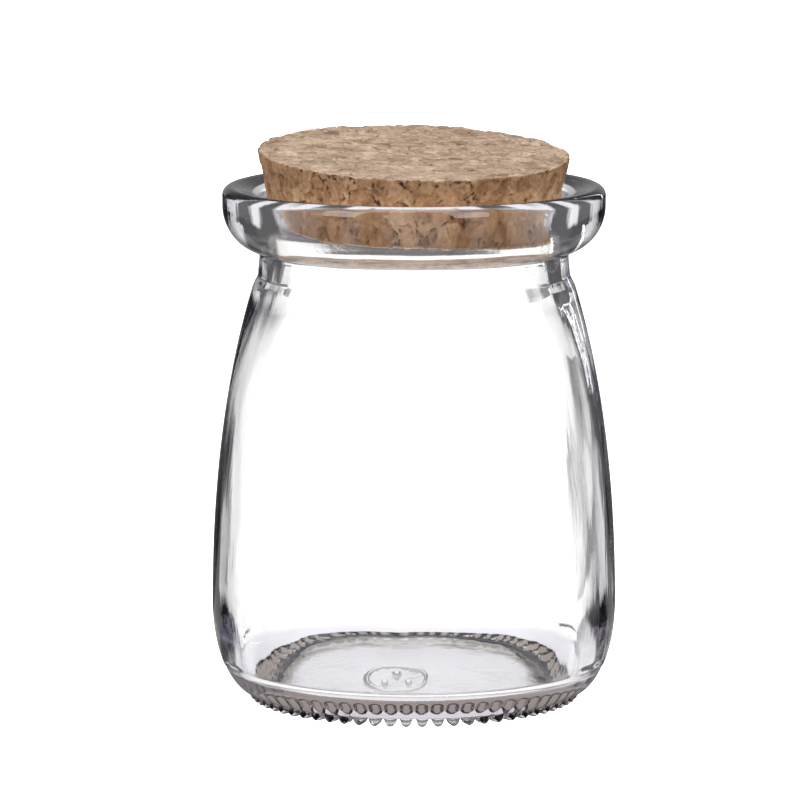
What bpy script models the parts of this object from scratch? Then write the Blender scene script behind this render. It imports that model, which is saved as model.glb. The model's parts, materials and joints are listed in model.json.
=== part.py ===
"""A small pressed-glass dessert jar, closed with a tapered cork stopper.

The jar is one piece of clear glass: a thick flared lip, a short neck, a sloping shoulder, a body that is widest
low down, and a heel that stands on a ring of small beads. The stopper is a disc of pressed cork granules,
pushed in a little crooked. Metres, +Z up, the origin on the floor under the middle of the jar, the front at -Y.
"""

import math

import bpy
from mathutils import Matrix, Vector, noise

# The jar's outside
BODY_RADIUS = 0.0290
BODY_WIDEST_Z = 0.0142
LIP_RADIUS = 0.0274
LIP_CREST_Z = 0.0741
LIP_CREST_ROUND = 0.0013
LIP_BULGE = (0.0062, 0.0067)
LIP_BULGE_Z = 0.0714
NECK_RADIUS = 0.0223
SHOULDER_STEP_Z = 0.0609
SHOULDER_STEP_RADIUS = 0.0226
SHOULDER_STEP_SIZE = (0.0005, 0.0012)
SHOULDER_PULL = (0.0042, 0.0138)
BODY_PULL_Z = 0.0300
BEAD_HEIGHT = 0.0012
HEEL_ROUND = 0.0055
HEEL_EDGE_RADIUS = 0.0239
HEEL_SEAM_Z = 0.0054
HEEL_SEAM_STEP = 0.00012

# The jar's inside. The hollow sits a little to the left, so the right wall is the thick one.
FLOOR_Z = 0.0023
CORNER_ROUND = (0.0071, 0.0045)
CORNER_RADIUS = 0.0255
CORNER_ENDS = math.radians(11.2)
WALL_RADIUS = 0.0274
WALL_Z = 0.0175
WALL_PULL_UP = 0.0050
WALL_PULL_DOWN = 0.0036
WALL_PULL = (0.0275, 0.0330)
SHOULDER_PULL_IN = (0.0264, 0.0475)
THROAT_STARTS = (0.0207, 0.0583)
THROAT_RADIUS = 0.0195
THROAT_Z = 0.0640
SEAT_Z = 0.0686
SEAT_RADIUS = 0.02075
MOUTH_RADIUS = 0.0218
MOUTH_EDGE = (0.0005, 0.0006)
MOUTH_EDGE_Z = 0.0725
HOLLOW_SHIFT = 0.0005
SHIFT_FADES_OVER = 0.020
SHIFT_ENDS_BELOW_THROAT = 0.002

# The foot
BEAD_COUNT = 64
BEAD_SIDES = 8
BEAD_ROWS = 4
BEAD_RING_RADIUS = 0.02235
BEAD_WIDTH = 0.0018
BEAD_DEPTH = 0.0032
BEAD_SUNK = 0.0002
BEAD_LENGTH_BEFORE_WEAR = 1.42
FOOT_INNER_RADIUS = 0.0206
PANEL_RADIUS = 0.0198
PANEL_Z = 0.00135
MARK_RADIUS = 0.0045
MARK_CENTRE = (-0.0023, -0.0002)
MARK_HEIGHT = 0.0003
MARK_DOT_SPREAD = 0.0019
MARK_DOT_RADIUS = 0.00054

# The stopper
CORK_TOP_RADIUS = 0.0224
CORK_THICKNESS = 0.0092
CORK_TAPER = 0.205
CORK_TOP_Z = 0.0791
CORK_LEAN_FORWARD = math.radians(3.9)
CORK_LEAN_RIGHT = math.radians(1.5)
CORK_PIVOT_Z = 0.0715
CORK_PIVOT_X = -0.0002
CORK_EDGE = 0.0004
CORK_ROUGHNESS = 0.00012
CORK_GRAINS_PER_METRE = (420.0, 1100.0)

GLASS_COLOUR = (0.97, 0.98, 0.98)
CORK_COLOUR = (0.46, 0.31, 0.18)

SEGMENTS = 64
MERGE = 0.00001
SHARP_ANGLE = math.radians(35)


def clear_scene():
    for old in list(bpy.data.objects):
        bpy.data.objects.remove(old, do_unlink=True)


def new_collection(name):
    collection = bpy.data.collections.new(name)
    bpy.context.scene.collection.children.link(collection)
    return collection


def principled(name, colour, roughness, transmission=0.0, ior=1.5):
    material = bpy.data.materials.new(name)
    material.use_nodes = True
    shader = material.node_tree.nodes["Principled BSDF"]
    shader.inputs["Base Color"].default_value = (*colour, 1.0)
    shader.inputs["Roughness"].default_value = roughness
    shader.inputs["Transmission Weight"].default_value = transmission
    shader.inputs["IOR"].default_value = ior
    return material


def ellipse_arc(centre, half_width, half_height, start, end, steps):
    """Points (radius, height) on an ellipse, from the start angle to the end angle in degrees, both included."""
    points = []
    for i in range(steps + 1):
        angle = math.radians(start + (end - start) * i / steps)
        points.append((centre[0] + half_width * math.cos(angle), centre[1] + half_height * math.sin(angle)))
    return points


def bezier(p0, p1, p2, p3, steps):
    """Points on a cubic curve, without its first one."""
    points = []
    for i in range(1, steps + 1):
        t = i / steps
        weights = ((1 - t) ** 3, 3 * t * (1 - t) ** 2, 3 * t * t * (1 - t), t ** 3)
        points.append(tuple(sum(w * p[k] for w, p in zip(weights, (p0, p1, p2, p3))) for k in (0, 1)))
    return points


def hollow_profile():
    """The inside, from the middle of the floor up the wall, through the throat and over the mouth's edge."""
    floor_edge = CORNER_RADIUS - CORNER_ROUND[0]
    floor = [(0.0, FLOOR_Z), (floor_edge / 2, FLOOR_Z)]
    corner = ellipse_arc((floor_edge, FLOOR_Z + CORNER_ROUND[1]), *CORNER_ROUND, -90, -math.degrees(CORNER_ENDS), 6)
    lean_out = CORNER_ROUND[0] / CORNER_ROUND[1] * math.tan(CORNER_ENDS)
    widening = bezier(corner[-1], (corner[-1][0] + lean_out * WALL_PULL_UP, corner[-1][1] + WALL_PULL_UP),
                      (WALL_RADIUS, WALL_Z - WALL_PULL_DOWN), (WALL_RADIUS, WALL_Z), 3)
    wall = bezier(widening[-1], WALL_PULL, SHOULDER_PULL_IN, THROAT_STARTS, 6)
    half_rise = (THROAT_Z - THROAT_STARTS[1]) / 2
    throat = bezier(THROAT_STARTS, (THROAT_RADIUS + half_rise / 6, THROAT_Z - half_rise),
                    (THROAT_RADIUS, THROAT_Z - half_rise / 2), (THROAT_RADIUS, THROAT_Z), 2)
    half_rise = (SEAT_Z - THROAT_Z) / 2
    flare = bezier(throat[-1], (THROAT_RADIUS, THROAT_Z + half_rise),
                   (SEAT_RADIUS - half_rise / 4, SEAT_Z - half_rise / 2), (SEAT_RADIUS, SEAT_Z), 3)
    edge = ellipse_arc((MOUTH_RADIUS + MOUTH_EDGE[0], MOUTH_EDGE_Z), *MOUTH_EDGE, 180, 90, 2)
    return floor + corner + widening + wall + throat + flare + edge


def outside_profile():
    """The outside, from the lip's flat top out over its crest, down the body and in under the foot."""
    crest = ellipse_arc((LIP_RADIUS - LIP_CREST_ROUND, LIP_CREST_Z - LIP_CREST_ROUND), LIP_CREST_ROUND,
                        LIP_CREST_ROUND, 100, 0, 4)
    lip_centre = (LIP_RADIUS - LIP_BULGE[0], LIP_BULGE_Z)
    neck_angle = -math.degrees(math.acos((NECK_RADIUS - lip_centre[0]) / LIP_BULGE[0]))
    lip = ellipse_arc(lip_centre, *LIP_BULGE, 0, neck_angle, 6)
    neck = [(NECK_RADIUS, (lip[-1][1] + SHOULDER_STEP_Z) / 2)]
    step = [(SHOULDER_STEP_RADIUS, SHOULDER_STEP_Z),
            (SHOULDER_STEP_RADIUS + SHOULDER_STEP_SIZE[0], SHOULDER_STEP_Z - SHOULDER_STEP_SIZE[1])]
    body = bezier(step[-1], (step[-1][0] + SHOULDER_PULL[0], step[-1][1] - SHOULDER_PULL[1]),
                  (BODY_RADIUS, BODY_PULL_Z), (BODY_RADIUS, BODY_WIDEST_Z), 8)
    heel_centre = (BODY_RADIUS - HEEL_ROUND, BODY_WIDEST_Z)
    heel_height = BODY_WIDEST_Z - BEAD_HEIGHT
    seam_angle = -math.degrees(math.asin((BODY_WIDEST_Z - HEEL_SEAM_Z) / heel_height))
    foot_angle = -math.degrees(math.acos((HEEL_EDGE_RADIUS - heel_centre[0]) / HEEL_ROUND))
    heel = ellipse_arc(heel_centre, HEEL_ROUND, heel_height, 0, seam_angle, 4)[1:]
    below = ellipse_arc((heel_centre[0] - HEEL_SEAM_STEP, heel_centre[1]), HEEL_ROUND, heel_height,
                        seam_angle - 0.6, foot_angle, 3)
    foot = [(FOOT_INNER_RADIUS, BEAD_HEIGHT), (PANEL_RADIUS, PANEL_Z), (PANEL_RADIUS * 0.55, PANEL_Z),
            (0.0, PANEL_Z)]
    return crest + lip + neck + step + body + heel + below + foot


def hollow_weight(height):
    """How much of the hollow's shift a height gets: none at the throat and above, all of it below the shoulder."""
    t = (THROAT_Z - SHIFT_ENDS_BELOW_THROAT - height) / SHIFT_FADES_OVER
    t = min(max(t, 0.0), 1.0)
    return t * t * (3 - 2 * t)


def turned(name, profile, collection, weights=None, shift=0.0):
    """A profile of (radius, height) points turned about Z, with its weighted points then shifted along X."""
    mesh = bpy.data.meshes.new(name)
    mesh.from_pydata([(r, 0.0, z) for r, z in profile], [(i, i + 1) for i in range(len(profile) - 1)], [])
    piece = bpy.data.objects.new(name, mesh)
    collection.objects.link(piece)
    screw = piece.modifiers.new("Turn", "SCREW")
    screw.steps = SEGMENTS
    screw.render_steps = SEGMENTS
    screw.use_merge_vertices = True
    screw.merge_threshold = MERGE
    screw.use_smooth_shade = True
    if weights:
        group = piece.vertex_groups.new(name="hollow")
        for i, weight in enumerate(weights):
            group.add([i], weight, "REPLACE")
        lean = piece.modifiers.new("Uneven wall", "DISPLACE")
        lean.direction = "X"
        lean.mid_level = 0.0
        lean.strength = shift
        lean.vertex_group = group.name
    return piece


def fuse(piece, collection):
    """Joins all objects of a collection to a piece, and removes them."""
    union = piece.modifiers.new("Fuse", "BOOLEAN")
    union.operation = "UNION"
    union.operand_type = "COLLECTION"
    union.collection = collection
    union.solver = "EXACT"
    bpy.context.view_layer.objects.active = piece
    for modifier in list(piece.modifiers):
        bpy.ops.object.modifier_apply(modifier=modifier.name)
    for old in list(collection.objects):
        bpy.data.objects.remove(old, do_unlink=True)
    bpy.data.collections.remove(collection)


def add_beads(collection):
    """The beads that the jar stands on: short round bars towards the middle, each worn flat on the table."""
    bpy.ops.mesh.primitive_uv_sphere_add(segments=BEAD_SIDES, ring_count=BEAD_ROWS, radius=1.0)
    first = bpy.context.object
    mesh = first.data
    mesh.name = "bead"
    unworn_length = (BEAD_HEIGHT + BEAD_SUNK) * BEAD_LENGTH_BEFORE_WEAR
    half_side = Matrix.Rotation(math.pi / BEAD_SIDES, 4, "Z")
    mesh.transform(Matrix.Diagonal((BEAD_WIDTH / 2, BEAD_WIDTH / 2, unworn_length, 1.0)) @ half_side)
    for vertex in mesh.vertices:
        if Vector(vertex.co.xy).length > MERGE:
            vertex.co.x += math.copysign((BEAD_DEPTH - BEAD_WIDTH) / 2, vertex.co.x)
        vertex.co.z = max(vertex.co.z, -BEAD_HEIGHT - BEAD_SUNK)
    bpy.data.objects.remove(first, do_unlink=True)
    for i in range(BEAD_COUNT):
        turn = 2 * math.pi * (i + 0.5) / BEAD_COUNT
        bead = bpy.data.objects.new(f"bead_{i:02d}", mesh)
        bead.location = (BEAD_RING_RADIUS * math.cos(turn), BEAD_RING_RADIUS * math.sin(turn),
                         BEAD_HEIGHT + BEAD_SUNK)
        bead.rotation_euler.z = turn
        collection.objects.link(bead)


def add_base_mark(collection):
    """A plain raised ring and three dots under the base, as moulds leave, in no maker's pattern."""
    bpy.ops.mesh.primitive_torus_add(major_segments=20, minor_segments=4, major_radius=MARK_RADIUS,
                                     minor_radius=MARK_HEIGHT, location=(*MARK_CENTRE, PANEL_Z))
    pieces = [bpy.context.object]
    for turn in (90, 210, 330):
        angle = math.radians(turn)
        place = (MARK_CENTRE[0] + MARK_DOT_SPREAD * math.cos(angle),
                 MARK_CENTRE[1] + MARK_DOT_SPREAD * math.sin(angle), PANEL_Z)
        bpy.ops.mesh.primitive_uv_sphere_add(segments=6, ring_count=4, radius=MARK_DOT_RADIUS, location=place)
        pieces.append(bpy.context.object)
    for piece in pieces:
        for home in list(piece.users_collection):
            home.objects.unlink(piece)
        collection.objects.link(piece)


def make_jar(collection):
    inside = hollow_profile()
    outside = outside_profile()
    weights = [hollow_weight(z) if r > 0 else 0.0 for r, z in inside] + [0.0] * len(outside)
    jar = turned("glass_jar", inside + outside, collection, weights, -HOLLOW_SHIFT)
    relief = new_collection("relief")
    add_beads(relief)
    add_base_mark(relief)
    fuse(jar, relief)
    jar.data.materials.clear()
    jar.data.materials.append(principled("clear_glass", GLASS_COLOUR, 0.02, transmission=1.0))
    for polygon in jar.data.polygons:
        polygon.material_index = 0
    jar.data.set_sharp_from_angle(angle=SHARP_ANGLE)
    return jar


def cork_profile():
    bottom_radius = CORK_TOP_RADIUS - CORK_TAPER * CORK_THICKNESS
    points = [(0.0, 0.0), (CORK_TOP_RADIUS / 3, 0.0), (CORK_TOP_RADIUS * 2 / 3, 0.0),
              (CORK_TOP_RADIUS - 2.2 * CORK_EDGE, 0.0), (CORK_TOP_RADIUS - 0.5 * CORK_EDGE, -0.3 * CORK_EDGE),
              (CORK_TOP_RADIUS - 0.2 * CORK_EDGE, -CORK_EDGE)]
    for i in range(1, 6):
        depth = CORK_THICKNESS * i / 6
        points.append((CORK_TOP_RADIUS - CORK_TAPER * depth, -depth))
    points += [(bottom_radius, CORK_EDGE - CORK_THICKNESS), (bottom_radius - 1.5 * CORK_EDGE, -CORK_THICKNESS),
               (bottom_radius * 0.6, -CORK_THICKNESS), (0.0, -CORK_THICKNESS)]
    return points


def make_cork(collection):
    cork = turned("cork_stopper", cork_profile(), collection)
    bpy.context.view_layer.objects.active = cork
    bpy.ops.object.modifier_apply(modifier="Turn")
    for vertex in cork.data.vertices:
        wander = sum(noise.noise(vertex.co * grains) for grains in CORK_GRAINS_PER_METRE)
        out = Vector((vertex.co.x, vertex.co.y, 0.0))
        if out.length > 0.9 * CORK_TOP_RADIUS:
            vertex.co -= out.normalized() * CORK_ROUGHNESS * (0.6 + wander)
    lean = Matrix.Rotation(CORK_LEAN_RIGHT, 4, "Y") @ Matrix.Rotation(CORK_LEAN_FORWARD, 4, "X")
    pivot = Vector((CORK_PIVOT_X, 0.0, CORK_PIVOT_Z))
    above = Vector((0.0, 0.0, CORK_TOP_Z - CORK_PIVOT_Z))
    cork.matrix_world = Matrix.Translation(pivot) @ lean @ Matrix.Translation(above)
    cork.data.materials.append(principled("cork", CORK_COLOUR, 0.85))
    cork.data.set_sharp_from_angle(angle=SHARP_ANGLE)
    return cork


def main():
    clear_scene()
    parts = new_collection("glass jar with cork")
    make_jar(parts)
    make_cork(parts)


main()
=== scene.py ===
# %% [markdown]
# # A glass jar with a cork, around its CAD frame
# The object is a small pressed-glass dessert jar, empty, with a pressed cork stopper pushed into its mouth.
# The CAD model gives two faceted solids, `glass_jar` and `cork_stopper`. Glass shows every facet, and cork
# is all surface, so both are remodelled here at the same sizes and stand in for their solids. Everything is
# in metres, with the front of the jar towards -Y. Python's random numbers and Blender's noise vectors both
# get a seed, because the noise vectors otherwise start from the clock and each run gives another cork.

import json
import math
import random

import bpy
import numpy as np
from mathutils import Matrix, Vector, kdtree, noise

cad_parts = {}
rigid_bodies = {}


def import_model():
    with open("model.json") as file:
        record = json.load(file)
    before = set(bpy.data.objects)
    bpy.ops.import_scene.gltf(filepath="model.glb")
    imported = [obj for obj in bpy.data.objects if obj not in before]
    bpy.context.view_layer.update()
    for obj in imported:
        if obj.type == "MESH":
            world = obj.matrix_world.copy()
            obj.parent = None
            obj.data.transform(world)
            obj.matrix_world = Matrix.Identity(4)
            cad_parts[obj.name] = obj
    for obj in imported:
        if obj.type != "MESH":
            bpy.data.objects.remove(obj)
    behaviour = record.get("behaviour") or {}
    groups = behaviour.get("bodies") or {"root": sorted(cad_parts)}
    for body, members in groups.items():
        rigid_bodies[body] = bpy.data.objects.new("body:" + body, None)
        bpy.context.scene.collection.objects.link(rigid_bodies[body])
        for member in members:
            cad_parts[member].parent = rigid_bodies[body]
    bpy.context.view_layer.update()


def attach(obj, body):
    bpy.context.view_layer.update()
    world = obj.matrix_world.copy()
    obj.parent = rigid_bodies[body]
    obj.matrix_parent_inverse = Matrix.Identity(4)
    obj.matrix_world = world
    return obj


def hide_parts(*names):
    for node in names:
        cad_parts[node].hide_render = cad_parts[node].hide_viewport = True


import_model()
MM = 0.001
random.seed(11)
noise.seed_set(11)

# %% [markdown]
# ## The camera
# The rim and the foot of the jar are circles, and in the photograph they show as ellipses: the rim about 9
# times as wide as it is high, the foot 5 times. That gives the camera's height and distance: a long lens,
# nearly a metre away, a little above the jar. The jar's axis is a few pixels right of the middle of the
# picture.

# %% Place the camera
CAMERA_PLACE = Vector((-0.0020, -0.895, 0.179))
CAMERA_AIM = Vector((-0.0020, 0.0, 0.0431))
LENS_MM = 284.1
SENSOR_MM = 36.0

bpy.ops.object.camera_add(location=CAMERA_PLACE)
camera = bpy.context.object
camera.data.sensor_width = SENSOR_MM
camera.data.lens = LENS_MM
camera.rotation_euler = (CAMERA_AIM - CAMERA_PLACE).to_track_quat("-Z", "Y").to_euler()
camera.data.clip_end = 20.0
bpy.context.scene.camera = camera
print("camera distance in m:", round((CAMERA_AIM - CAMERA_PLACE).length, 3))

# %% [markdown]
# ## Small helpers
# An operator acts on whatever is selected, so each step starts by clearing the selection. `finished` leaves
# a piece with its origin at the world's origin, as the CAD nodes have.

# %% Helpers for selection and origins
def select_only(*objects):
    bpy.ops.object.select_all(action="DESELECT")
    for obj in objects:
        obj.select_set(True)
    bpy.context.view_layer.objects.active = objects[0]


def finished(piece):
    select_only(piece)
    bpy.ops.object.transform_apply(location=True, rotation=True, scale=True)
    return piece


def apply_all(piece):
    select_only(piece)
    for modifier in list(piece.modifiers):
        bpy.ops.object.modifier_apply(modifier=modifier.name)


def ellipse_arc(centre, half_width, half_height, start, end, steps):
    angles = [math.radians(start + (end - start) * i / steps) for i in range(steps + 1)]
    return [(centre[0] + half_width * math.cos(a), centre[1] + half_height * math.sin(a)) for a in angles]


def bezier(p0, p1, p2, p3, steps):
    points = []
    for i in range(1, steps + 1):
        t = i / steps
        weights = ((1 - t) ** 3, 3 * t * (1 - t) ** 2, 3 * t * t * (1 - t), t ** 3)
        points.append(tuple(sum(w * p[k] for w, p in zip(weights, (p0, p1, p2, p3))) for k in (0, 1)))
    return points


# %% [markdown]
# ## The jar's section
# A jar like this is pressed and blown in a mould, so its section is one smooth closed outline. The driving
# sizes repeat those of the CAD model. The outside has the crest and bulge of the lip, the neck, the small
# step where the neck ring of the mould met the body, the shoulder, and the heel with its own mould step.
# The inside has the flat floor, its corner, the wall, the narrow throat, and the flare that the cork sits
# in.
#
# Each stretch between two sizes is a Bezier curve, and the two pulls are its handles. Smooth shading bends
# the light near the edge of a flat, so the floor and the recess under it get one more ring of points there.

# %% The jar's sizes, in metres
BODY_RADIUS = 0.0290
BODY_WIDEST_Z = 0.0142
LIP_RADIUS = 0.0274
LIP_CREST_Z = 0.0741
LIP_CREST_ROUND = 0.0013
LIP_BULGE = (0.0062, 0.0067)
LIP_BULGE_Z = 0.0714
NECK_RADIUS = 0.0223
SHOULDER_STEP_Z = 0.0609
SHOULDER_STEP_RADIUS = 0.0226
BEAD_HEIGHT = 0.0012
HEEL_ROUND = 0.0055
HEEL_EDGE_RADIUS = 0.0239
HEEL_SEAM_Z = 0.0054
HEEL_SEAM_STEP = 0.00012
FLOOR_Z = 0.0023
CORNER_ROUND = (0.0071, 0.0045)
CORNER_RADIUS = 0.0255
CORNER_ENDS = math.radians(11.2)
WALL_RADIUS = 0.0274
WALL_Z = 0.0175
WALL_PULL_UP = 0.0050
WALL_PULL_DOWN = 0.0036
WALL_PULL = (0.0275, 0.0330)
SHOULDER_PULL_IN = (0.0264, 0.0475)
THROAT_STARTS = (0.0207, 0.0583)
THROAT_RADIUS = 0.0195
THROAT_Z = 0.0640
SEAT_Z = 0.0686
SEAT_RADIUS = 0.02075
MOUTH_RADIUS = 0.0218
MOUTH_EDGE = (0.0005, 0.0006)
MOUTH_EDGE_Z = 0.0725
HOLLOW_SHIFT = 0.0005
FOOT_INNER_RADIUS = 0.0206
PANEL_RADIUS = 0.0198
PANEL_Z = 0.00135
PANEL_SIDE = 0.0002
FLOOR_EDGE_RING = 0.0002
PANEL_EDGE_RING = 0.0003
BORE_PULLS = ((0.0003, 0.0013), (0.0003, 0.0014))
LIP_DISH = (0.0005, 0.0010)
LIP_TOP_PULLS = ((0.0010, 0.0001), (0.0012, 0.0002))
NECK_PULLS = ((0.0004, 0.0006), 0.0012)
NECK_ENDS_ABOVE_STEP = 0.0008
STEP_PULL = 0.0002
STEP_REACH = (0.0005, 0.0012)
SHOULDER_PULL = (0.0042, 0.0150)
BODY_PULL_Z = 0.0300
HEEL_SEAM_OVERLAP = 0.8


# %% The hollow, from the middle of the floor up to the mouth
def hollow_profile():
    floor_edge = CORNER_RADIUS - CORNER_ROUND[0]
    floor = [(floor_edge * i / 24, FLOOR_Z) for i in range(24)] + [(floor_edge - FLOOR_EDGE_RING, FLOOR_Z)]
    corner = ellipse_arc((floor_edge, FLOOR_Z + CORNER_ROUND[1]), *CORNER_ROUND,
                         -90, -math.degrees(CORNER_ENDS), 24)
    lean_out = CORNER_ROUND[0] / CORNER_ROUND[1] * math.tan(CORNER_ENDS)
    ends = corner[-1]
    widening = bezier(ends, (ends[0] + lean_out * WALL_PULL_UP, ends[1] + WALL_PULL_UP),
                      (WALL_RADIUS, WALL_Z - WALL_PULL_DOWN), (WALL_RADIUS, WALL_Z), 16)
    wall = bezier(widening[-1], WALL_PULL, SHOULDER_PULL_IN, THROAT_STARTS, 30)
    half_rise = (THROAT_Z - THROAT_STARTS[1]) / 2
    throat = bezier(THROAT_STARTS, (THROAT_RADIUS + half_rise / 6, THROAT_Z - half_rise),
                    (THROAT_RADIUS, THROAT_Z - half_rise / 2), (THROAT_RADIUS, THROAT_Z), 8)
    half_rise = (SEAT_Z - THROAT_Z) / 2
    flare = bezier(throat[-1], (THROAT_RADIUS, THROAT_Z + half_rise),
                   (SEAT_RADIUS - half_rise / 4, SEAT_Z - half_rise / 2), (SEAT_RADIUS, SEAT_Z), 10)
    low, high = BORE_PULLS
    bore = bezier(flare[-1], (SEAT_RADIUS + low[0], SEAT_Z + low[1]),
                  (MOUTH_RADIUS - high[0], MOUTH_EDGE_Z - high[1]), (MOUTH_RADIUS, MOUTH_EDGE_Z), 8)
    edge = ellipse_arc((MOUTH_RADIUS + MOUTH_EDGE[0], MOUTH_EDGE_Z), *MOUTH_EDGE, 180, 90, 5)[1:]
    return floor + corner + widening + wall + throat + flare + bore + edge


# %% The outside, from the mouth down to the middle of the recess
def outside_profile():
    start = (MOUTH_RADIUS + LIP_DISH[0], LIP_CREST_Z - LIP_DISH[1])
    crest = ellipse_arc((LIP_RADIUS - LIP_CREST_ROUND, LIP_CREST_Z - LIP_CREST_ROUND), LIP_CREST_ROUND,
                        LIP_CREST_ROUND, 100, 0, 10)
    inner, outer = LIP_TOP_PULLS
    top = bezier(start, (start[0] + inner[0], start[1] + inner[1]),
                 (crest[0][0] - outer[0], crest[0][1] - outer[1]), crest[0], 6)
    lip_centre = (LIP_RADIUS - LIP_BULGE[0], LIP_BULGE_Z)
    neck_angle = -math.degrees(math.acos((NECK_RADIUS - lip_centre[0]) / LIP_BULGE[0]))
    lip = ellipse_arc(lip_centre, *LIP_BULGE, 0, neck_angle, 22)
    neck_end = (NECK_RADIUS, SHOULDER_STEP_Z + NECK_ENDS_ABOVE_STEP)
    high, low = NECK_PULLS
    neck = bezier(lip[-1], (NECK_RADIUS - high[0], lip[-1][1] - high[1]), (NECK_RADIUS, neck_end[1] + low),
                  neck_end, 5)
    step_end = (SHOULDER_STEP_RADIUS + STEP_REACH[0], SHOULDER_STEP_Z - STEP_REACH[1])
    step = bezier(neck_end, (NECK_RADIUS, SHOULDER_STEP_Z + STEP_PULL),
                  (SHOULDER_STEP_RADIUS, SHOULDER_STEP_Z), step_end, 5)
    body = bezier(step_end, (step_end[0] + SHOULDER_PULL[0], SHOULDER_STEP_Z - SHOULDER_PULL[1]),
                  (BODY_RADIUS, BODY_PULL_Z), (BODY_RADIUS, BODY_WIDEST_Z), 34)
    heel_centre = (BODY_RADIUS - HEEL_ROUND, BODY_WIDEST_Z)
    heel_height = BODY_WIDEST_Z - BEAD_HEIGHT
    seam_angle = -math.degrees(math.asin((BODY_WIDEST_Z - HEEL_SEAM_Z) / heel_height))
    foot_angle = -math.degrees(math.acos((HEEL_EDGE_RADIUS - heel_centre[0]) / HEEL_ROUND))
    heel = ellipse_arc(heel_centre, HEEL_ROUND, heel_height, 0, seam_angle, 14)[1:]
    below = ellipse_arc((heel_centre[0] - HEEL_SEAM_STEP, heel_centre[1]), HEEL_ROUND, heel_height,
                        seam_angle - HEEL_SEAM_OVERLAP, foot_angle, 10)
    foot = [(FOOT_INNER_RADIUS, BEAD_HEIGHT), (PANEL_RADIUS + PANEL_SIDE, BEAD_HEIGHT)]
    panel = [(PANEL_RADIUS, PANEL_Z), (PANEL_RADIUS - PANEL_EDGE_RING, PANEL_Z),
             (PANEL_RADIUS * 0.66, PANEL_Z), (PANEL_RADIUS * 0.33, PANEL_Z), (0.0, PANEL_Z)]
    return top + crest[1:] + lip[1:] + neck + step + body + heel + below + foot + panel


inside = hollow_profile()
outside = outside_profile()
print("points in the section:", len(inside), "inside,", len(outside), "outside")

# %% [markdown]
# ## Spinning the section
# A round glass is the simplest thing to get right with `spin`: one vertex is extruded along the outline,
# and the string of edges is spun once round. Blown glass is never quite even: the hollow sits a little to
# the left, and its wall waves slightly. Those waves are what draws the dark streaks down the sides of real
# glass.

# %% Extrude the outline from one vertex and spin it
SPIN_STEPS = 256
DOUBLES = 0.00001

bpy.ops.mesh.primitive_plane_add(size=MM)
jar = bpy.context.object
jar.name = "jar_glass"
bpy.ops.object.mode_set(mode="EDIT")
bpy.ops.mesh.merge(type="CENTER")
at_r, at_z = 0.0, 0.0
for r, z in inside + outside:
    bpy.ops.mesh.extrude_region_move(TRANSFORM_OT_translate={"value": (r - at_r, 0.0, z - at_z)})
    at_r, at_z = r, z
bpy.ops.object.mode_set(mode="OBJECT")
for vertex in jar.data.vertices:
    vertex.select = vertex.index == 0
bpy.ops.object.mode_set(mode="EDIT")
bpy.ops.mesh.delete(type="VERT")
bpy.ops.mesh.select_all(action="SELECT")
bpy.ops.mesh.spin(steps=SPIN_STEPS, angle=2 * math.pi, center=(0.0, 0.0, 0.0), axis=(0.0, 0.0, 1.0))
bpy.ops.mesh.select_all(action="SELECT")
bpy.ops.mesh.remove_doubles(threshold=DOUBLES)
bpy.ops.mesh.normals_make_consistent(inside=False)
bpy.ops.object.mode_set(mode="OBJECT")
print("jar faces:", len(jar.data.polygons))


# %% Tell the hollow's vertices from the outside's
FLOOR_GOES_OVER = (0.012, 0.024)
HOLLOW_MARGIN = 0.0004
hollow_curve = sorted((z, r) for r, z in inside if r > FLOOR_GOES_OVER[0])
hollow_heights = [z for z, _ in hollow_curve]
hollow_radii = [r for _, r in hollow_curve]


def smooth_step(low, high, value):
    t = min(max((value - low) / (high - low), 0.0), 1.0)
    return t * t * (3 - 2 * t)


def on_hollow(co):
    if co.z > SEAT_Z + 0.003 or co.z < FLOOR_Z - 0.0005:
        return False
    return math.hypot(co.x, co.y) < float(np.interp(co.z, hollow_heights, hollow_radii)) + HOLLOW_MARGIN


# %% Shift the hollow and let its wall wave
WAVE_DEPTH = 0.00012
WIDE_WAVES = (3.4, 55.0)
FINE_WAVES = (9.0, 90.0)
FINE_WAVE_SHARE = 0.35
SHIFT_STARTS_Z = THROAT_Z - 0.002
SHIFT_SPREAD = 0.020
SWIRL_SCALE = 160.0
SWIRL_DEPTH = 0.00005


def waves(turn, z, scales):
    round_scale, height_scale = scales
    return noise.noise(Vector((math.cos(turn) * round_scale, math.sin(turn) * round_scale, z * height_scale)))


for vertex in jar.data.vertices:
    co = vertex.co
    if not on_hollow(co):
        continue
    r = math.hypot(co.x, co.y)
    turn = math.atan2(co.y, co.x)
    wall = smooth_step(*FLOOR_GOES_OVER, r)
    calm = 1.0 - smooth_step(THROAT_Z + 0.002, SEAT_Z, co.z)
    wave = waves(turn, co.z, WIDE_WAVES) + FINE_WAVE_SHARE * waves(turn, co.z, FINE_WAVES)
    out = Vector((co.x, co.y, 0.0)).normalized() if r > 0 else Vector((0, 0, 0))
    shift = -HOLLOW_SHIFT * smooth_step(0.0, SHIFT_SPREAD, SHIFT_STARTS_Z - co.z)
    vertex.co = co + out * wave * WAVE_DEPTH * wall * calm + Vector((shift, 0.0, 0.0))
    if wall < 1.0:
        swirl = noise.noise(Vector((co.x * SWIRL_SCALE, co.y * SWIRL_SCALE, 3.0)))
        vertex.co.z += swirl * SWIRL_DEPTH * (1.0 - wall)

# %% [markdown]
# ## The ring of beads
# The jar stands on small moulded beads, which keep the hot glass off the belt. One is modelled and copied
# round the foot. A plain raised mark comes under the base, and the mould's two halves leave a fine seam at
# two places on the lip's crest. A Boolean union melts them all into the jar, so that the glass stays one
# body.

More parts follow.
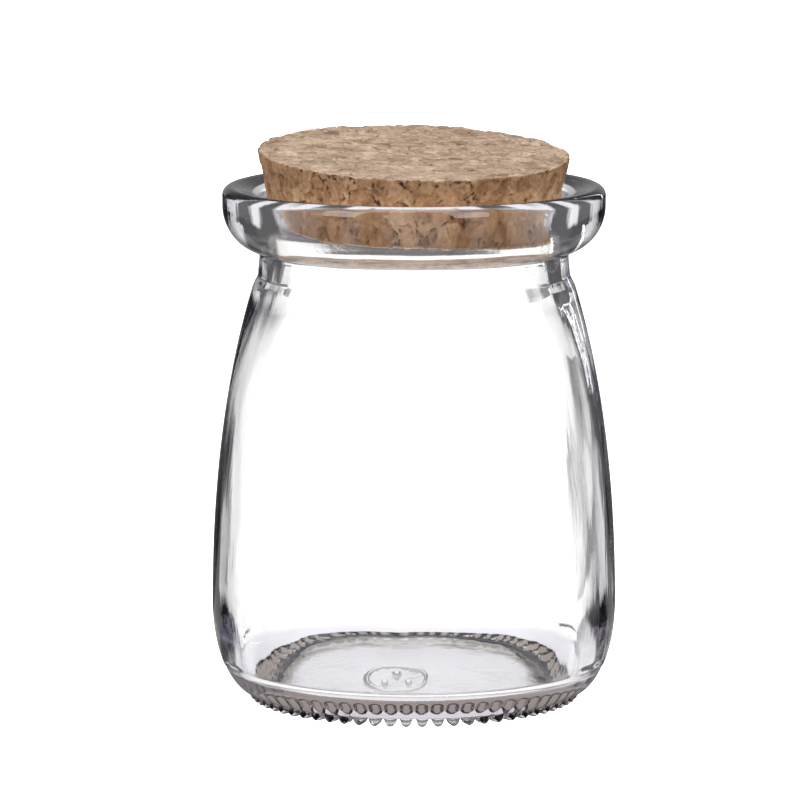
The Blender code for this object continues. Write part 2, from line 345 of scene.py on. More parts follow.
# %% Model one bead and copy it round the foot
BEAD_COUNT = 64
BEAD_RING_RADIUS = 0.02235
BEAD_WIDTH = 0.0018
BEAD_DEPTH = 0.0032
BEAD_SUNK = 0.0002
BEAD_SIDES = 20
BEAD_RINGS = 12

relief = bpy.data.collections.new("relief")
bpy.context.scene.collection.children.link(relief)
bpy.ops.mesh.primitive_uv_sphere_add(segments=BEAD_SIDES, ring_count=BEAD_RINGS, radius=1.0)
first = bpy.context.object
bead_reach = BEAD_HEIGHT + BEAD_SUNK
first.data.transform(Matrix.Diagonal((BEAD_WIDTH / 2, BEAD_WIDTH / 2, bead_reach, 1.0))
                     @ Matrix.Rotation(math.pi / BEAD_SIDES, 4, "Z"))
for vertex in first.data.vertices:
    if math.hypot(vertex.co.x, vertex.co.y) > 0.05 * BEAD_WIDTH:
        vertex.co.x += math.copysign((BEAD_DEPTH - BEAD_WIDTH) / 2, vertex.co.x)
for i in range(BEAD_COUNT):
    turn = 2 * math.pi * (i + 0.5) / BEAD_COUNT
    bead = bpy.data.objects.new(f"bead_{i:02d}", first.data.copy())
    bead.location = (BEAD_RING_RADIUS * math.cos(turn), BEAD_RING_RADIUS * math.sin(turn), bead_reach)
    bead.rotation_euler.z = turn
    relief.objects.link(bead)
bpy.data.objects.remove(first, do_unlink=True)

# %% The mark under the base, and the mould's seams
MARK_RADIUS = 0.0045
MARK_CENTRE = (-0.0023, -0.0002)
MARK_HEIGHT = 0.0003
MARK_DOT_SPREAD = 0.0019
MARK_DOT_RADIUS = 0.00054
MARK_DOT_TURNS = (90, 210, 330)
SEAM_TURNS = (math.radians(-97.3), math.radians(82.7))
SEAM_WIDTH = 0.00016
SEAM_PROUD = 0.00004


def into_relief(piece):
    for home in list(piece.users_collection):
        home.objects.unlink(piece)
    relief.objects.link(piece)


bpy.ops.mesh.primitive_torus_add(major_segments=72, minor_segments=12, major_radius=MARK_RADIUS,
                                 minor_radius=MARK_HEIGHT, location=(*MARK_CENTRE, PANEL_Z))
into_relief(bpy.context.object)
for turn in MARK_DOT_TURNS:
    angle = math.radians(turn)
    dot_x = MARK_CENTRE[0] + MARK_DOT_SPREAD * math.cos(angle)
    dot_y = MARK_CENTRE[1] + MARK_DOT_SPREAD * math.sin(angle)
    bpy.ops.mesh.primitive_uv_sphere_add(segments=16, ring_count=10, radius=MARK_DOT_RADIUS,
                                         location=(dot_x, dot_y, PANEL_Z))
    into_relief(bpy.context.object)

crest_centre = (LIP_RADIUS - LIP_CREST_ROUND, 0.0, LIP_CREST_Z - LIP_CREST_ROUND)
fin_reach = LIP_CREST_ROUND + SEAM_PROUD
for turn in SEAM_TURNS:
    bpy.ops.mesh.primitive_uv_sphere_add(segments=24, ring_count=32, radius=1.0)
    fin = bpy.context.object
    fin.data.transform(Matrix.Rotation(turn, 4, "Z") @ Matrix.Translation(crest_centre)
                       @ Matrix.Diagonal((fin_reach, SEAM_WIDTH, fin_reach, 1.0)))
    into_relief(fin)

# %% Melt them into the jar
SHARP_ANGLE = math.radians(38)

fuse = jar.modifiers.new("Fuse relief", "BOOLEAN")
fuse.operation = "UNION"
fuse.operand_type = "COLLECTION"
fuse.collection = relief
fuse.solver = "MANIFOLD"
apply_all(jar)
for piece in list(relief.objects):
    bpy.data.objects.remove(piece, do_unlink=True)
bpy.data.collections.remove(relief)
select_only(jar)
bpy.ops.object.shade_smooth_by_angle(angle=SHARP_ANGLE)
print("jar faces with its relief:", len(jar.data.polygons))

# %% [markdown]
# ## Clear glass
# Glass does two things at each surface: it bends light through, and it mirrors a part of it, all of it
# where the light meets the inside of a wall at a flat angle. One refraction and one mirror shader, mixed by
# Fresnel, do just that. Soda-lime glass swallows a little light on long ways, but the grey here is mostly
# painted shade: what grazes a wall is tinted grey, which darkens the jar's edges, and what is mirrored
# inside a wall is a shade greyer. The mould leaves a faint upright ripple in the normals, which breaks up
# reflections.

# %% Node helpers for textures and colours
def noise_texture(tree, vector, scale, detail=2.0, roughness=0.5):
    node = tree.nodes.new("ShaderNodeTexNoise")
    for socket, value in (("Scale", scale), ("Detail", detail), ("Roughness", roughness)):
        node.inputs[socket].default_value = value
    tree.links.new(vector, node.inputs["Vector"])
    return node


def colour_ramp(tree, value, stops):
    """A colour for each value. The ramp has two stops of its own, and the others are added between."""
    node = tree.nodes.new("ShaderNodeValToRGB")
    elements = node.color_ramp.elements
    for element, (position, colour) in ((elements[0], stops[0]), (elements[1], stops[-1])):
        element.position = position
        element.color = (*colour, 1.0)
    for position, colour in stops[1:-1]:
        elements.new(position).color = (*colour, 1.0)
    tree.links.new(value, node.inputs["Fac"])
    return node.outputs["Color"]


def mixed(tree, factor, a, b, blend="MIX"):
    """Two colours mixed. Each of the three may be another node's output, or a plain number or colour."""
    node = tree.nodes.new("ShaderNodeMix")
    node.data_type = "RGBA"
    node.blend_type = blend
    for socket, value in (("Factor", factor), ("A", a), ("B", b)):
        if isinstance(value, bpy.types.NodeSocket):
            tree.links.new(value, node.inputs[socket])
        elif isinstance(value, tuple):
            node.inputs[socket].default_value = (*value, 1.0)
        else:
            node.inputs[socket].default_value = value
    return node.outputs["Result"]


# %% The glass material
GLASS_IOR = 1.5
RIPPLE_SCALE = 900.0
RIPPLE_DETAIL = 3.0
RIPPLE_UPRIGHT = 0.14
RIPPLE_HEIGHT = 0.00001
WHITE = (1.0, 1.0, 1.0)
BLACK = (0.0, 0.0, 0.0)
# Painted shade: a grey for what the inside of a wall mirrors, and a grey for the glass seen at a grazing
# angle.
MIRRORED_INSIDE_SHADE = (0.77, 0.76, 0.79)
GRAZING_SHADE_STARTS = 0.72
GRAZING_SHADE = (0.22, 0.21, 0.24)


def glass_material():
    material = bpy.data.materials.new("clear pressed glass")
    material.use_nodes = True
    tree = material.node_tree
    tree.nodes.clear()
    out = tree.nodes.new("ShaderNodeOutputMaterial")
    mix = tree.nodes.new("ShaderNodeMixShader")
    refract = tree.nodes.new("ShaderNodeBsdfRefraction")
    mirror = tree.nodes.new("ShaderNodeBsdfAnisotropic")
    fresnel = tree.nodes.new("ShaderNodeFresnel")
    geometry = tree.nodes.new("ShaderNodeNewGeometry")
    facing = tree.nodes.new("ShaderNodeLayerWeight")
    coordinates = tree.nodes.new("ShaderNodeTexCoord")
    upright = tree.nodes.new("ShaderNodeMapping")
    bump = tree.nodes.new("ShaderNodeBump")
    refract.inputs["IOR"].default_value = GLASS_IOR
    refract.inputs["Roughness"].default_value = 0.0
    mirror.inputs["Roughness"].default_value = 0.0
    fresnel.inputs["IOR"].default_value = GLASS_IOR
    facing.inputs["Blend"].default_value = 0.5
    upright.inputs["Scale"].default_value = (1.0, 1.0, RIPPLE_UPRIGHT)
    bump.inputs["Strength"].default_value = 1.0
    bump.inputs["Distance"].default_value = RIPPLE_HEIGHT
    links = tree.links
    links.new(coordinates.outputs["Object"], upright.inputs["Vector"])
    ripple = noise_texture(tree, upright.outputs["Vector"], RIPPLE_SCALE, RIPPLE_DETAIL)
    links.new(ripple.outputs["Fac"], bump.inputs["Height"])
    for shader in (refract, mirror, fresnel):
        links.new(bump.outputs["Normal"], shader.inputs["Normal"])
    # Painted shade: the light bent through the glass turns grey where a wall is seen at a grazing angle,
    # which darkens the jar's edges.
    edge_shade = colour_ramp(tree, facing.outputs["Facing"], [(GRAZING_SHADE_STARTS, WHITE), (1.0, GRAZING_SHADE)])
    links.new(edge_shade, refract.inputs["Color"])
    # Painted shade: what the inside of a wall mirrors is greyed.
    links.new(mixed(tree, geometry.outputs["Backfacing"], WHITE, MIRRORED_INSIDE_SHADE), mirror.inputs["Color"])
    links.new(fresnel.outputs["Fac"], mix.inputs["Fac"])
    links.new(refract.outputs["BSDF"], mix.inputs[1])
    links.new(mirror.outputs["BSDF"], mix.inputs[2])
    links.new(mix.outputs["Shader"], out.inputs["Surface"])
    return material


jar.data.materials.clear()
jar.data.materials.append(glass_material())
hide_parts("glass_jar")
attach(jar, "root")
print("nodes in the glass:", len(jar.data.materials[0].node_tree.nodes))

# %% [markdown]
# ## Pressed cork
# The stopper is cut from a sheet of cork granules pressed together with glue. What the eye reads as cork is
# all at the size of a granule: each has its own shade, thin cracks stay open between some of them, crumbs
# have fallen out of the surface, and the sawn edge is chipped. A texture alone looks flat, so the granules
# are scattered as points here, and every vertex of a fine mesh asks which granule it belongs to.

# %% Cut the disc and give it an even fine mesh
CORK_TOP_RADIUS = 0.0224
CORK_THICKNESS = 0.0092
CORK_TAPER = 0.205
CORK_TOP_Z = 0.0791
CORK_LEAN_FORWARD = math.radians(3.9)
CORK_LEAN_RIGHT = math.radians(1.5)
CORK_PIVOT_Z = 0.0715
CORK_PIVOT_X = -0.0002
CORK_SIDES = 160
CORK_MESH = 0.00023
CORK_EDGE_ROUND = 0.00035
CORK_BOTTOM_RADIUS = CORK_TOP_RADIUS - CORK_TAPER * CORK_THICKNESS

bpy.ops.mesh.primitive_cone_add(vertices=CORK_SIDES, radius1=CORK_BOTTOM_RADIUS, radius2=CORK_TOP_RADIUS,
                                depth=CORK_THICKNESS, location=(0, 0, -CORK_THICKNESS / 2))
cork = bpy.context.object
cork.name = "pressed_cork"
finished(cork)
rim = cork.modifiers.new("Rounded edges", "BEVEL")
rim.width = CORK_EDGE_ROUND
rim.segments = 2
rim.limit_method = "ANGLE"
even = cork.modifiers.new("Even mesh", "REMESH")
even.mode = "VOXEL"
even.voxel_size = CORK_MESH
apply_all(cork)
print("cork faces:", len(cork.data.polygons))

# %% Scatter the granules
GRANULE_SPACING = 0.0021
GRANULE_REACH = 0.28
GRANULE_STEP = 0.00024
TONE_SPREAD = 0.14
BARK_SHARE = 0.025
BARK_SMALLER = 0.3
PALE_SHARE = 0.10
PALE_LIFT = 0.2


def scatter_granules():
    granules = []
    steps = int(CORK_TOP_RADIUS / GRANULE_SPACING) + 2
    layers = int(CORK_THICKNESS / GRANULE_SPACING) + 2
    for i in range(-steps, steps + 1):
        for j in range(-steps, steps + 1):
            for k in range(-layers, 2):
                jitter = Vector([random.uniform(-0.5, 0.5) for _ in range(3)])
                place = (Vector((i, j, k)) + jitter) * GRANULE_SPACING
                kind = random.random()
                is_bark = kind < BARK_SHARE
                reach = random.uniform(-GRANULE_REACH, GRANULE_REACH) - (BARK_SMALLER if is_bark else 0.0)
                tone = min(max(random.gauss(0.5, TONE_SPREAD), 0.0), 1.0)
                granules.append({
                    "place": place,
                    "reach": reach * GRANULE_SPACING,
                    "tone": tone + (PALE_LIFT if kind > 1 - PALE_SHARE else 0.0),
                    "bark": 1.0 if is_bark else 0.0,
                    "step": random.uniform(0.0, GRANULE_STEP),
                })
    return granules


def search_tree(places):
    tree = kdtree.KDTree(len(places))
    for i, place in enumerate(places):
        tree.insert(place, i)
    tree.balance()
    return tree


granules = scatter_granules()
granule_tree = search_tree([granule["place"] for granule in granules])
print("granules:", len(granules))

# %% [markdown]
# ### From granules to relief
# The distance to the nearest granule, against the distance to the next one, tells how far a vertex is from
# the crack between the two. A rule on the two granules' numbers says whether their crack stands open. Two
# rounds of noise bend the borders first, since broken cork has no flat sides. Where a crumb has fallen out
# there is a pit.

# %% Scatter the pits over the top, the side and the underside
PIT_COUNT = 300
PIT_RADIUS = (0.00016, 0.00052)
PIT_DEPTH = 0.00045
PIT_STRETCH = (0.5, 1.6)
PITS_ON_TOP = 0.42
PITS_TO_SIDE = 0.80


def scatter_pits():
    pits = []
    for _ in range(PIT_COUNT):
        turn = random.uniform(0, 2 * math.pi)
        radius = random.uniform(*PIT_RADIUS) * random.uniform(0.5, 1.0)
        where = random.random()
        if where < PITS_ON_TOP:
            depth = 0.0
            r = CORK_TOP_RADIUS * math.sqrt(random.random())
        elif where < PITS_TO_SIDE:
            depth = random.uniform(0.0, CORK_THICKNESS)
            r = CORK_TOP_RADIUS - CORK_TAPER * depth
        else:
            depth = CORK_THICKNESS
            r = CORK_BOTTOM_RADIUS * math.sqrt(random.random())
        place = Vector((r * math.cos(turn), r * math.sin(turn), -depth))
        stretch = Vector([random.uniform(*PIT_STRETCH) for _ in range(3)])
        pits.append((place, radius, stretch))
    return pits


pits = scatter_pits()
pit_tree = search_tree([place for place, _, _ in pits])
print("pits:", len(pits))

# %% How deep each point is pressed in, and how dark it is
WARP = 0.00055
WIDE_WARP_SCALE = 700.0
FINE_WARP_SCALE = 2100.0
FINE_WARP_SHARE = 0.4
CRACK_WIDTH = 0.00017
CRACK_DEPTH = 0.00045
CRACK_RAGGED_SCALE = 1500.0
OPEN_SHARE = 0.34
PIT_RAGGED_SCALE = 2600.0
PIT_RAGGED = 0.0002
CHIP_DEPTH = 0.0011
CHIP_SCALE = 900.0
CHIP_BAND = 0.0016
CHIP_THRESHOLD = 0.08
CHIP_PLACE = Vector((7.0, 3.0, 1.0))
GRAIN_DEPTH = 0.00005
GRAIN_SCALE = 3300.0


def open_crack(a, b):
    low, high = sorted((a, b))
    return ((low * 7919 + high * 104729) % 1000) / 1000.0 < OPEN_SHARE


def bent(co):
    wide = noise.noise_vector(co * WIDE_WARP_SCALE)
    fine = noise.noise_vector(co * FINE_WARP_SCALE)
    return co + (wide + fine * FINE_WARP_SHARE) * WARP


def granule_at(co):
    """The granule that a point belongs to, and how near the crack to the next one is, from 0 to 1."""
    found = granule_tree.find_n(bent(co), 5)
    near = sorted((distance - granules[i]["reach"], i) for _, i, distance in found)
    (first_distance, first), (second_distance, second) = near[0], near[1]
    crack = 0.0
    if open_crack(first, second):
        ragged = 0.7 + 0.6 * noise.noise(co * CRACK_RAGGED_SCALE)
        crack = math.exp(-((second_distance - first_distance) / (CRACK_WIDTH * max(ragged, 0.2))) ** 2)
    return granules[first], crack


def pit_at(co):
    deepest = 0.0
    for _, i, _ in pit_tree.find_n(co, 3):
        centre, radius, stretch = pits[i]
        offset = co - centre
        scaled = Vector((offset.x / stretch.x, offset.y / stretch.y, offset.z / stretch.z)).length
        scaled += noise.noise(co * PIT_RAGGED_SCALE) * PIT_RAGGED
        if scaled < radius:
            deepest = max(deepest, 1.0 - (max(scaled, 0.0) / radius) ** 2)
    return deepest


def chip_at(co):
    edge = CORK_TOP_RADIUS - math.hypot(co.x, co.y) + max(-co.z, 0.0)
    if edge >= CHIP_BAND:
        return 0.0
    chip = max(noise.noise(co * CHIP_SCALE + CHIP_PLACE) - CHIP_THRESHOLD, 0.0)
    return chip * (1.0 - edge / CHIP_BAND)


# %% Press the relief into the mesh
TONE_SCALE = 1400.0
TONE_NOISE = 0.25
FLAT_FACE_NORMAL = 0.8

new_places = []
grains = []
for vertex in cork.data.vertices:
    co = vertex.co.copy()
    granule, crack = granule_at(co)
    pit = pit_at(co)
    dent = max(crack * CRACK_DEPTH + granule["step"], pit * PIT_DEPTH)
    dent += chip_at(co) * CHIP_DEPTH + (0.5 + 0.5 * noise.noise(co * GRAIN_SCALE)) * GRAIN_DEPTH
    new_places.append(co - vertex.normal * dent)
    tone = granule["tone"] + TONE_NOISE * noise.noise(co * TONE_SCALE)
    # The second channel, open crack or pit, later paints those hollows near black as painted shade.
    grains.append((tone, min(max(crack, pit), 1.0), granule["bark"], 1.0))
# Painted light: the flat faces are marked here, to be coloured paler than the side as if lit from above.
flat = [1.0 if abs(vertex.normal.z) > FLAT_FACE_NORMAL else 0.0 for vertex in cork.data.vertices]
for vertex, place in zip(cork.data.vertices, new_places):
    vertex.co = place
grain = cork.data.attributes.new("grain", "FLOAT_COLOR", "POINT")
for i, colour in enumerate(grains):
    grain.data[i].color = colour
lit_flat_face = cork.data.attributes.new("lit_flat_face", "FLOAT", "POINT")
for i, value in enumerate(flat):
    lit_flat_face.data[i].value = value
select_only(cork)
bpy.ops.object.shade_smooth()
print("cork vertices in open cracks and pits:", sum(crack > 0.5 for _, crack, _, _ in grains))

# %% Push the cork into the mouth, a little crooked
lean = Matrix.Rotation(CORK_LEAN_RIGHT, 4, "Y") @ Matrix.Rotation(CORK_LEAN_FORWARD, 4, "X")
pivot = Vector((CORK_PIVOT_X, 0.0, CORK_PIVOT_Z))
above = Vector((0.0, 0.0, CORK_TOP_Z - CORK_PIVOT_Z))
cork.data.transform(Matrix.Translation(pivot) @ lean @ Matrix.Translation(above))
print("top of the cork in mm:", round(max(vertex.co.z for vertex in cork.data.vertices) / MM, 1))

# %% [markdown]
# ### The cork's colours
# The mesh carries each point's granule tone, crack and bark as the attribute `grain`, and a second
# attribute is 1 on the two flat faces. These get paler tones than the side: painted light, which shows the
# top as lit from above and leaves the side darker as in shade. The open cracks and pits are painted near
# black, a painted shade in those hollows. On top of that come finer things than the mesh can hold: a mottle
# inside each granule, the small flakes that it breaks into, and slits between some of them, painted dark as
# shade. The same three also drive the bump.

# %% The cork's colours, with painted light and shade, and its scales
# Painted light: the side's darker tones as in shade, and the paler tones of the flat faces as if lit from
# above.
SIDE_TONES = [(0.0, (0.172, 0.086, 0.039)), (0.45, (0.284, 0.153, 0.076)), (1.0, (0.41, 0.266, 0.155))]
LIT_FACE_TONES = [(0.0, (0.315, 0.208, 0.138)), (0.45, (0.475, 0.348, 0.248)), (1.0, (0.65, 0.510, 0.390))]
MOTTLE_SCALE = 1700.0
MOTTLE_TONES = [(0.30, (0.72, 0.68, 0.64)), (0.52, WHITE), (0.72, (1.16, 1.17, 1.18))]
FLAKE_SCALE = 640.0
FLAKE_BEND_SCALE = 1300.0
FLAKE_WARP = 0.0011
FLAKE_TONES = [(0.0, (0.80, 0.77, 0.74)), (0.5, WHITE), (1.0, (1.13, 1.14, 1.15))]
SLIT_EDGE = [(0.0, WHITE), (0.075, BLACK)]
SLIT_PATCH_SCALE = 520.0
SLIT_PATCHES = [(0.53, BLACK), (0.60, WHITE)]
# Painted shade: the dark of the slits between flakes.
SLIT_SHADE = (0.12, 0.060, 0.030)
SLIT_SHADE_SHARE = 0.55
BARK_COLOUR = (0.085, 0.048, 0.030)
BARK_MIX = 0.6
# Painted shade: near black in the open cracks and pits.
CRACK_SHADE = (0.055, 0.030, 0.018)
CRACK_SHADE_EDGE = [(0.25, BLACK), (0.85, WHITE)]
BUMP_STRENGTH = 0.9
BUMP_HEIGHT = 0.00030


# %% Flakes and slits as nodes
def flake_nodes(tree, place):
    """Each flake's own two random numbers, and 1 in the slits between some of the flakes."""
    bend = noise_texture(tree, place, FLAKE_BEND_SCALE, 3.0)
    warped = tree.nodes.new("ShaderNodeVectorMath")
    warped.operation = "MULTIPLY_ADD"
    warped.inputs[1].default_value = (FLAKE_WARP, FLAKE_WARP, FLAKE_WARP)
    tree.links.new(bend.outputs["Color"], warped.inputs[0])
    tree.links.new(place, warped.inputs[2])
    cells = {}
    for feature in ("F1", "DISTANCE_TO_EDGE"):
        cells[feature] = tree.nodes.new("ShaderNodeTexVoronoi")
        cells[feature].feature = feature
        cells[feature].inputs["Scale"].default_value = FLAKE_SCALE
        tree.links.new(warped.outputs["Vector"], cells[feature].inputs["Vector"])
    flake = tree.nodes.new("ShaderNodeSeparateColor")
    tree.links.new(cells["F1"].outputs["Color"], flake.inputs["Color"])
    slit = colour_ramp(tree, cells["DISTANCE_TO_EDGE"].outputs["Distance"], SLIT_EDGE)
    patches = noise_texture(tree, place, SLIT_PATCH_SCALE)
    slits = mixed(tree, 1.0, slit, colour_ramp(tree, patches.outputs["Fac"], SLIT_PATCHES), "MULTIPLY")
    return flake.outputs["Red"], flake.outputs["Green"], slits


# %% The cork material
def cork_material():
    material = bpy.data.materials.new("pressed cork granules")
    material.use_nodes = True
    tree = material.node_tree
    links = tree.links
    shader = tree.nodes["Principled BSDF"]
    shader.inputs["Roughness"].default_value = 0.9
    shader.inputs["Specular IOR Level"].default_value = 0.25
    place = tree.nodes.new("ShaderNodeTexCoord").outputs["Object"]
    grain_of = tree.nodes.new("ShaderNodeAttribute")
    grain_of.attribute_name = "grain"
    lit_flat_face_of = tree.nodes.new("ShaderNodeAttribute")
    lit_flat_face_of.attribute_name = "lit_flat_face"
    split = tree.nodes.new("ShaderNodeSeparateColor")
    links.new(grain_of.outputs["Color"], split.inputs["Color"])
    tone, crack, bark = split.outputs["Red"], split.outputs["Green"], split.outputs["Blue"]

    # Painted light and shade: the flat faces take paler tones than the side.
    base = mixed(tree, lit_flat_face_of.outputs["Fac"], colour_ramp(tree, tone, SIDE_TONES),
                 colour_ramp(tree, tone, LIT_FACE_TONES))
    mottle = noise_texture(tree, place, MOTTLE_SCALE, 4.0, 0.65).outputs["Fac"]
    base = mixed(tree, 1.0, base, colour_ramp(tree, mottle, MOTTLE_TONES), "MULTIPLY")
    flake_tone, flake_height, slits = flake_nodes(tree, place)
    base = mixed(tree, 1.0, base, colour_ramp(tree, flake_tone, FLAKE_TONES), "MULTIPLY")
    # Painted shade: the slits between flakes are darkened.
    base = mixed(tree, slits, base, mixed(tree, SLIT_SHADE_SHARE, base, SLIT_SHADE))
    base = mixed(tree, bark, base, mixed(tree, BARK_MIX, base, BARK_COLOUR))
    # Painted shade: open cracks and pits are painted near black.
    base = mixed(tree, colour_ramp(tree, crack, CRACK_SHADE_EDGE), base, CRACK_SHADE)
    links.new(base, shader.inputs["Base Color"])

    bump = tree.nodes.new("ShaderNodeBump")
    bump.inputs["Strength"].default_value = BUMP_STRENGTH
    bump.inputs["Distance"].default_value = BUMP_HEIGHT
    height = mixed(tree, slits, mixed(tree, 0.45, mottle, flake_height), BLACK)
    links.new(height, bump.inputs["Height"])
    links.new(bump.outputs["Normal"], shader.inputs["Normal"])
    return material


cork.data.materials.clear()
cork.data.materials.append(cork_material())
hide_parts("cork_stopper")
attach(cork, "root")
print("nodes in the cork:", len(cork.data.materials[0].node_tree.nodes))

# %% [markdown]
# ## A white table, with dark between the lights
# On an even white surround a glass jar all but disappears. A photographer keeps the light straight behind
# the glass and lets the sides of the room fall dark: the walls of the jar bend that darkness into their
# edges. So the white table here glows towards the glass only in broad rays from the jar, every 90 degrees
# far out and every 45 degrees close in, and the jar looks alike from each of those sides. Under the foot
# the table glows brighter, a painted pool of the light that comes through the glass, and a painted warm
# contact shadow lies below the ring of beads.
#
# Each wall of glass takes a share of the light that passes it. So that white stays white behind four walls,
# the table and the room shine a little stronger for light that comes through glass, and weaker for light
# that is only mirrored, which keeps a white haze off the lip.

# %% Node helpers for the table and the room
WHITE_GLOW = 1.25
DARK_GLOW = 0.13
THROUGH_GLASS_GAIN = 0.7
MIRRORED_GAIN = -0.7
BEHIND_GLASS_GAIN = 1.2


def calculate(tree, operation, *values):
    node = tree.nodes.new("ShaderNodeMath")
    node.operation = operation
    for i, value in enumerate(values):
        if isinstance(value, bpy.types.NodeSocket):
            tree.links.new(value, node.inputs[i])
        else:
            node.inputs[i].default_value = value
    return node.outputs[0]


def map_range(tree, value, low, high, to_low, to_high):
    node = tree.nodes.new("ShaderNodeMapRange")
    node.interpolation_type = "SMOOTHSTEP"
    for socket, number in (("From Min", low), ("From Max", high), ("To Min", to_low), ("To Max", to_high)):
        node.inputs[socket].default_value = number
    tree.links.new(value, node.inputs["Value"])
    return node.outputs["Result"]


def rays(tree, x, y, count, half_width, soft_edge, spread=None):
    """1 inside rays that leave the jar at equal angles, 0 between them."""
    step = 2 * math.pi / count
    turn = calculate(tree, "ARCTAN2", x, y)
    turn = calculate(tree, "FLOORED_MODULO", calculate(tree, "ADD", turn, step / 2), step)
    off = calculate(tree, "ABSOLUTE", calculate(tree, "SUBTRACT", turn, step / 2))
    if spread is not None:
        off = calculate(tree, "SUBTRACT", off, spread)
    return map_range(tree, off, half_width, half_width + soft_edge, 1.0, 0.0)


def through_glass(tree, path, lit):
    """A glow that is stronger through glass, more so for matte things behind it, and weaker in a mirror."""
    gain = calculate(tree, "MULTIPLY_ADD", path.outputs["Is Transmission Ray"], THROUGH_GLASS_GAIN, 1.0)
    gain = calculate(tree, "MULTIPLY_ADD", path.outputs["Is Glossy Ray"], MIRRORED_GAIN, gain)
    matte = calculate(tree, "MINIMUM", path.outputs["Diffuse Depth"], 1.0)
    matte = calculate(tree, "MULTIPLY", matte, path.outputs["Is Transmission Ray"])
    gain = calculate(tree, "MULTIPLY_ADD", matte, BEHIND_GLASS_GAIN, gain)
    return calculate(tree, "MULTIPLY", lit, gain)


# %% The table
TABLE_RADIUS = 3.0
TABLE_BELOW = 0.00002
RAY_HALF_WIDTH = math.radians(9)
RAY_SOFT_EDGE = math.radians(6)
SLANT_HALF_WIDTH = math.radians(2)
SLANT_SOFT_EDGE = math.radians(6)
JAR_HALF_WIDTH = 0.024
SLANT_JAR_HALF_WIDTH = 0.006
SIDE_RAYS_START = (0.070, 0.120)
SLANT_RAYS_END = (0.35, 0.55)
UNDER_RADIUS = (0.030, 0.035)
# Painted light under the foot, and a painted warm contact shadow below the ring of beads.
UNDER_GLOW = (0.84, 0.83, 0.885)
FOOT_SHADOW = (0.34, 0.30, 0.27)
FOOT_SHADOW_STARTS = (0.0190, 0.0210)
FOOT_SHADOW_ENDS = (0.0245, 0.0265)
CAMERA_WHITE = 1.1

bpy.ops.mesh.primitive_circle_add(vertices=96, radius=TABLE_RADIUS, fill_type="NGON",
                                  location=(0, 0, -TABLE_BELOW))
table = bpy.context.object
table.name = "white_table"


def table_material():
    material = bpy.data.materials.new("white table")
    material.use_nodes = True
    tree = material.node_tree
    tree.nodes.clear()
    out = tree.nodes.new("ShaderNodeOutputMaterial")
    glow = tree.nodes.new("ShaderNodeEmission")
    coordinates = tree.nodes.new("ShaderNodeTexCoord")
    split = tree.nodes.new("ShaderNodeSeparateXYZ")
    path = tree.nodes.new("ShaderNodeLightPath")
    camera_ray = path.outputs["Is Camera Ray"]
    tree.links.new(coordinates.outputs["Object"], split.inputs["Vector"])
    x, y = split.outputs["X"], split.outputs["Y"]
    square = calculate(tree, "ADD", calculate(tree, "MULTIPLY", x, x), calculate(tree, "MULTIPLY", y, y))
    distance = calculate(tree, "SQRT", square)
    spread = calculate(tree, "DIVIDE", JAR_HALF_WIDTH, distance)
    ahead = rays(tree, x, y, 2, RAY_HALF_WIDTH, RAY_SOFT_EDGE, spread)
    aside = rays(tree, x, y, 4, RAY_HALF_WIDTH, RAY_SOFT_EDGE, spread)
    aside = calculate(tree, "MULTIPLY", aside, map_range(tree, distance, *SIDE_RAYS_START, 0.0, 1.0))
    spread = calculate(tree, "DIVIDE", SLANT_JAR_HALF_WIDTH, distance)
    slant = rays(tree, x, y, 8, SLANT_HALF_WIDTH, SLANT_SOFT_EDGE, spread)
    slant = calculate(tree, "MULTIPLY", slant, map_range(tree, distance, *SLANT_RAYS_END, 1.0, 0.0))
    under = map_range(tree, distance, *UNDER_RADIUS, 1.0, 0.0)
    lit = calculate(tree, "MAXIMUM", calculate(tree, "MAXIMUM", ahead, aside),
                    calculate(tree, "MAXIMUM", slant, under))
    lit = calculate(tree, "MULTIPLY_ADD", lit, WHITE_GLOW - DARK_GLOW, DARK_GLOW)
    lit = through_glass(tree, path, lit)
    # Painted shadow: a warm dark ring on the table below the beads, over the painted pool of brighter light
    # under the foot.
    foot_shadow_mask = calculate(tree, "MULTIPLY", map_range(tree, distance, *FOOT_SHADOW_STARTS, 0.0, 1.0),
                       map_range(tree, distance, *FOOT_SHADOW_ENDS, 1.0, 0.0))
    colour = mixed(tree, foot_shadow_mask, mixed(tree, under, WHITE, UNDER_GLOW), FOOT_SHADOW)
    lit = calculate(tree, "MULTIPLY_ADD", camera_ray, CAMERA_WHITE, lit)
    colour = mixed(tree, camera_ray, colour, WHITE)
    tree.links.new(lit, glow.inputs["Strength"])
    tree.links.new(colour, glow.inputs["Color"])
    tree.links.new(glow.outputs["Emission"], out.inputs["Surface"])
    return material


table.data.materials.append(table_material())
print("nodes in the table:", len(table.data.materials[0].node_tree.nodes))

# %% The room
CEILING_GLOW = (0.20, 0.19, 0.19)
HORIZON_Z = (0.10, 0.38)
BACKDROP_HALF_WIDTH = math.radians(21)
BACKDROP_SOFT_EDGE = math.radians(6)

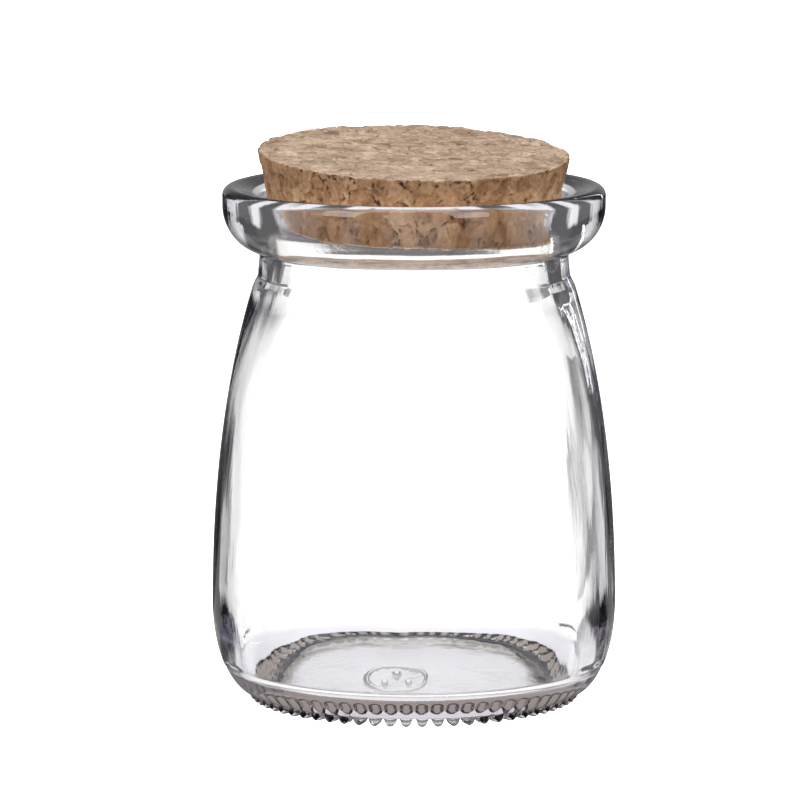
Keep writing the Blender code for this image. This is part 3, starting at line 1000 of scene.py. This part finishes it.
world = bpy.data.worlds.new("studio")
bpy.context.scene.world = world
world.use_nodes = True
room = world.node_tree
background = room.nodes["Background"]
coordinates = room.nodes.new("ShaderNodeTexCoord")
split = room.nodes.new("ShaderNodeSeparateXYZ")
path = room.nodes.new("ShaderNodeLightPath")
room.links.new(coordinates.outputs["Generated"], split.inputs["Vector"])
lit = rays(room, split.outputs["X"], split.outputs["Y"], 4, BACKDROP_HALF_WIDTH, BACKDROP_SOFT_EDGE)
lit = calculate(room, "MULTIPLY_ADD", lit, WHITE_GLOW - DARK_GLOW, DARK_GLOW)
lit = through_glass(room, path, lit)
overhead = map_range(room, split.outputs["Z"], *HORIZON_Z, 0.0, 1.0)
horizon = room.nodes.new("ShaderNodeCombineColor")
for channel in ("Red", "Green", "Blue"):
    room.links.new(lit, horizon.inputs[channel])
surround = mixed(room, overhead, horizon.outputs["Color"], CEILING_GLOW)
seen = mixed(room, path.outputs["Is Camera Ray"], surround, (CAMERA_WHITE, CAMERA_WHITE, CAMERA_WHITE))
room.links.new(seen, background.inputs["Color"])
background.inputs["Strength"].default_value = 1.0
print("nodes in the room:", len(room.nodes))

# %% [markdown]
# ### Softboxes
# Two tall softboxes and one overhead light the cork, and put the bright patches on the lip. A thin strip
# behind the jar gives its edge a glint. Only the strip shows through the glass, because a whole softbox
# would show in it as a hard white square.

# %% The softboxes
AIM_Z = 0.05


def softbox(name, turn, rise, distance, size, brightness, seen_in_glass=False):
    a = math.radians(turn)
    e = math.radians(rise)
    place = Vector((math.sin(a) * math.cos(e), -math.cos(a) * math.cos(e), math.sin(e))) * distance
    bpy.ops.object.light_add(type="AREA", location=place)
    light = bpy.context.object
    light.name = name
    light.data.shape = "RECTANGLE"
    light.data.size = size[0]
    light.data.size_y = size[1]
    light.data.energy = brightness * math.pi * size[0] * size[1]
    light.rotation_euler = (Vector((0, 0, AIM_Z)) - place).to_track_quat("-Z", "Y").to_euler()
    light.visible_transmission = seen_in_glass


softbox("tall_left", -45, 20, 1.2, (0.47, 1.35), 4.6)
softbox("tall_right", 34, 20, 1.2, (0.47, 1.35), 4.0)
softbox("overhead", 0, 80, 1.1, (0.9, 0.9), 2.6)
softbox("rim_strip", 153, 12, 1.2, (0.05, 1.0), 3.0, seen_in_glass=True)
print("lights:", len(bpy.data.lights))

# %% The picture keeps the lights' own colours, and rays may pass many walls of glass
bpy.context.scene.view_settings.view_transform = "Standard"
bpy.context.scene.cycles.max_bounces = 40
bpy.context.scene.cycles.transmission_bounces = 32
bpy.context.scene.cycles.glossy_bounces = 24
